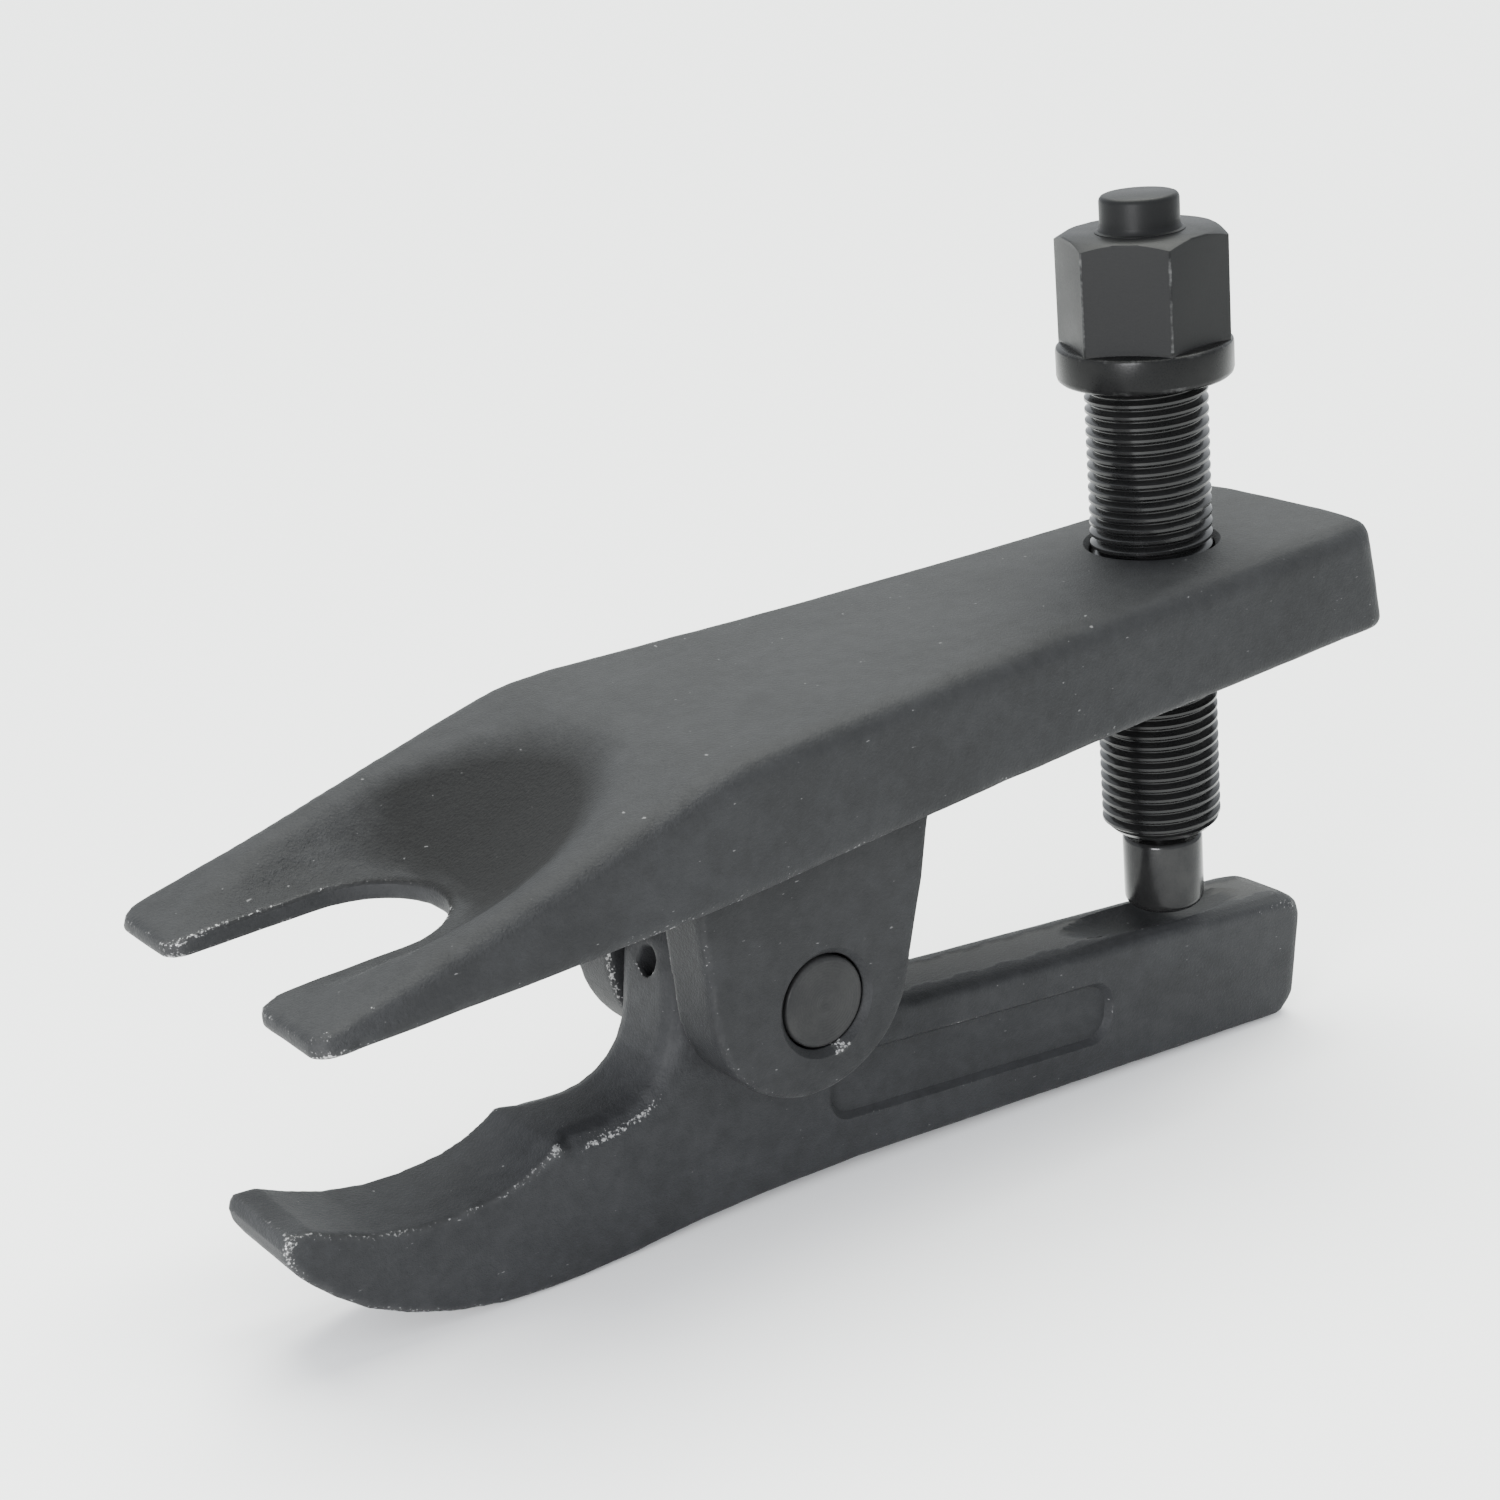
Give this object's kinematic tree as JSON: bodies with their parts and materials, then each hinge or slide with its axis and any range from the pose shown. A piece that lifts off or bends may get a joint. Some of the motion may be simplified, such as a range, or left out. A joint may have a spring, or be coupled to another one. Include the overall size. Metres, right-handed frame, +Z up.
{
  "type": "ball joint separator",
  "caption": "Forked arm and lever arm hinged on a pin; a forcing screw through the forked arm spreads their tails and closes the jaws on a ball joint.",
  "frame": {"origin": "centre of the bounding box in X and Y, at the level of the lever's underside", "axes": "+X from the fork to the tail, +Y across the arms along the pivot pin, +Z up toward the screw head"},
  "size_m": [0.1666, 0.0498, 0.1177],
  "materials": {
    "forged_fork": "forged steel with a dark phosphate coat",
    "forged_lever": "forged steel with a dark phosphate coat",
    "pin_steel": "blackened turned steel",
    "grub_steel": "blackened steel",
    "screw_steel": "blackened steel, lightly oiled",
    "tip_steel": "blackened ground steel"
  },
  "bodies": {
    "lever": {"lever_arm": "forged_lever", "pivot_pin": "pin_steel", "pin_grub_screw": "grub_steel"},
    "fork": {"fork_arm": "forged_fork"},
    "tip": {"pressure_tip": "tip_steel"},
    "screw": {"forcing_screw": "screw_steel"}
  },
  "joints": [
    {"name": "arm_pivot", "type": "hinge", "parent": "lever", "child": "fork", "pos_m": [-0.01222, 0, 0.02942], "axis": [0, -1, 0], "range_deg": [-19.1, 15.95]},
    {"name": "screw_travel", "type": "slide", "parent": "fork", "child": "tip", "axis": [-0.0828, 0, 0.9966], "range_m": [-0.02, 0.024]},
    {"name": "screw_spin", "type": "hinge", "parent": "tip", "child": "screw", "pos_m": [0.05468, 0, 0.072], "axis": [-0.0828, 0, 0.9966], "range_deg": [-4830, 5790]}
  ],
  "couplings": [
    {"joint": "screw_spin", "follows": "screw_travel", "rad_per_m": 4188.8},
    {"joint": "arm_pivot", "follows": "screw_travel", "rad_per_m": -13.793}
  ]
}
